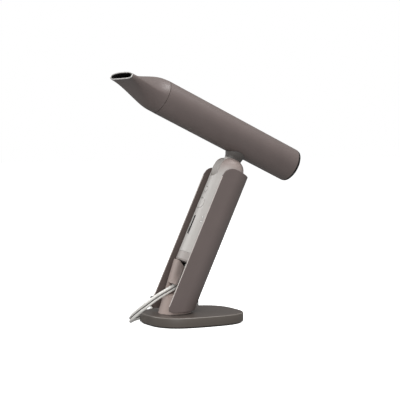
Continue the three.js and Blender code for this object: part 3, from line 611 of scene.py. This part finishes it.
def add_nozzle():
    """The tapered shell with its round socket, and the bright lip at its mouth."""
    seam, socket_end, split, front, wall = 114.3, 121.3, 167.2, 168.5, 1.2
    socket_radius, step_radius, half_gap = 17.3, 18.9, 0.1
    outside = nozzle_rings(0, NOZZLE_BACK, split - half_gap)
    inside = nozzle_rings(wall, socket_end, split - half_gap)
    # The socket is a round hole, and a thin black step behind the shell makes the seam.
    socket = []
    for radius, z in ((socket_radius, socket_end), (socket_radius, seam), (step_radius, seam),
                      (step_radius, NOZZLE_BACK)):
        socket.append([(x, y, z) for x, y, _ in nozzle_ring(0, NOZZLE_RADIUS - radius)])
    points, faces = skin(outside + list(reversed(inside)) + socket, closed=True)
    nozzle = add_piece("nozzle", points, faces, AXIS, TAUPE, "nozzle", ("nozzle_shell",))
    # Everything but the outer skin is black.
    nozzle.data.materials.append(BLACK)
    shown = len(outside[0]) * (len(outside) - 1)
    for face in list(nozzle.data.polygons)[shown:]:
        face.material_index = 1
    outside = nozzle_rings(0, split + half_gap, front, 4)
    inside = nozzle_rings(wall, split + half_gap, front, 4)
    points, faces = skin(outside + list(reversed(inside)), closed=True)
    lip = add_piece("nozzle_rim", points, faces, AXIS, SILVER, "nozzle", ("nozzle_lip",))
    soften(lip, width_mm=0.2)


def add_slot_lining():
    """The black sides of the slot that the speed slider moves in."""
    low, high, outer_x, inner_x, front, back = 91.15, 113.85, 1.48, 1.34, -17.85, -15
    for side, name in ((1, "slot_lining_right"), (-1, "slot_lining_left")):
        rings = []
        for z in (low, high):
            outer, inner = side * outer_x, side * inner_x
            rings.append([(outer, front, z), (inner, front, z), (inner, back, z), (outer, back, z)])
        points, faces = skin(rings)
        add_piece(name, points, faces, MAST, BLACK, "handle", ())


add_base()
add_channel()
add_barrel()
add_nozzle()
add_slot_lining()


# ---- the pieces that keep their CAD shape ----
# Each piece's material, and the width in millimetres that its edges are softened by.
FINISHES = {
    "handle_shell": (HANDLE_GREY, 0.35),
    "handle_back_cover": (HANDLE_GREY, 0.2),
    "handle_end_cap": (HANDLE_GREY, 0.2),
    "hinge_pin_cap": (HANDLE_GREY, 0.2),
    "head_knuckle": (KNUCKLE_GREY, 0.25),
    "stand_pedestal": (POST_TAUPE, 0.6),
    "power_button": (HANDLE_GREY, 0.2),
    "cool_button": (HANDLE_GREY, 0.2),
    "speed_slider": (BLACK, 0.2),
    "cord_strain_relief": (CORD_WHITE, 0.3),
    "plug_body": (CORD_WHITE, 0.3),
    "intake_filter_cap": (BLACK, 0),
    "cord_hank_tie": (RUBBER, 0.2),
    "stand_foot_pad": (RUBBER, 0.2),
}
# The material of every other piece, by the slot that the record gives it.
SLOT_FINISH = {
    "steel": STEEL, "black_plastic": BLACK, "rubber": RUBBER, "mica": MICA, "board": BOARD,
    "lamp": LAMP, "brass": BRASS, "filter_mesh": MESH_STEEL, "button_grey": BUTTON_GREY,
    "cord_white": CORD_WHITE, "handle_grey": HANDLE_GREY, "lip_silver": SILVER,
    "shell_taupe": TAUPE, "base_taupe": BASE_TAUPE, "post_taupe": POST_TAUPE,
    "knuckle_grey": KNUCKLE_GREY,
}


def dress_cad():
    """Gives every CAD piece its material, smooth faces and soft edges."""
    slots = {s["node"]: s["material_slot"] for s in frame["record"]["subparts"]}
    for name, node in frame["nodes"].items():
        material, edge = FINISHES.get(name, (SLOT_FINISH[slots[name]], 0))
        if node.data.materials:
            for i in range(len(node.data.materials)):
                node.material_slots[i].material = material
        else:
            node.data.materials.append(material)
        node.data.polygons.foreach_set("use_smooth", [True] * len(node.data.polygons))
        node.data.set_sharp_from_angle(angle=math.radians(32))
        if edge:
            soften(node, edge)


dress_cad()


# ---- stage ----
WHITE = (1, 1, 1, 1)
STUDIO_GLOW, BACKDROP_GLOW = 0.27, 1.0
# Each light's name, place in metres, width in metres and power in watts.
LIGHTS = (
    ("top", (0.1, 0.1, 2.0), 1.2, 16),
    ("side", (1.5, -0.9, 0.7), 1.2, 21),
    ("back", (0.45, 0.75, 1.85), 0.8, 17),
    ("left", (-1.1, -1.3, 1.1), 0.9, 11),
)
LIGHTS_AIM = Vector((0, 0, 0.13))


def add_floor():
    """A plain white floor, which glows a little and throws no light on the dryer."""
    bpy.ops.mesh.primitive_plane_add(size=12)
    floor = bpy.context.object
    floor.name = "floor"
    paper = bpy.data.materials.new("floor_paper")
    paper.use_nodes = True
    shader = paper.node_tree.nodes["Principled BSDF"]
    shader.inputs["Base Color"].default_value = (0.9, 0.9, 0.9, 1)
    shader.inputs["Roughness"].default_value = 0.9
    shader.inputs["Emission Color"].default_value = WHITE
    shader.inputs["Emission Strength"].default_value = 0.8
    floor.data.materials.append(paper)
    floor.visible_diffuse = False
    floor.visible_glossy = False


def add_world():
    """A dim, even light from all round, in front of a white backdrop."""
    world = scene.world or bpy.data.worlds.new("studio")
    scene.world = world
    world.use_nodes = True
    nodes, links = world.node_tree.nodes, world.node_tree.links
    glow, backdrop = nodes["Background"], nodes.new("ShaderNodeBackground")
    for background, strength in ((glow, STUDIO_GLOW), (backdrop, BACKDROP_GLOW)):
        background.inputs["Color"].default_value = WHITE
        background.inputs["Strength"].default_value = strength
    path, mix = nodes.new("ShaderNodeLightPath"), nodes.new("ShaderNodeMixShader")
    links.new(path.outputs["Is Camera Ray"], mix.inputs["Fac"])
    links.new(glow.outputs["Background"], mix.inputs[1])
    links.new(backdrop.outputs["Background"], mix.inputs[2])
    links.new(mix.outputs["Shader"], nodes["World Output"].inputs["Surface"])


def add_lights():
    """Four soft square lights, all aimed at the middle of the dryer."""
    for name, place, size, power in LIGHTS:
        data = bpy.data.lights.new(name, "AREA")
        data.size = size
        data.energy = power
        light = bpy.data.objects.new(name, data)
        light.location = place
        aim = LIGHTS_AIM - light.location
        light.rotation_euler = aim.to_track_quat("-Z", "Y").to_euler()
        scene.collection.objects.link(light)


add_floor()
add_world()
add_lights()
scene.view_settings.view_transform = "Standard"
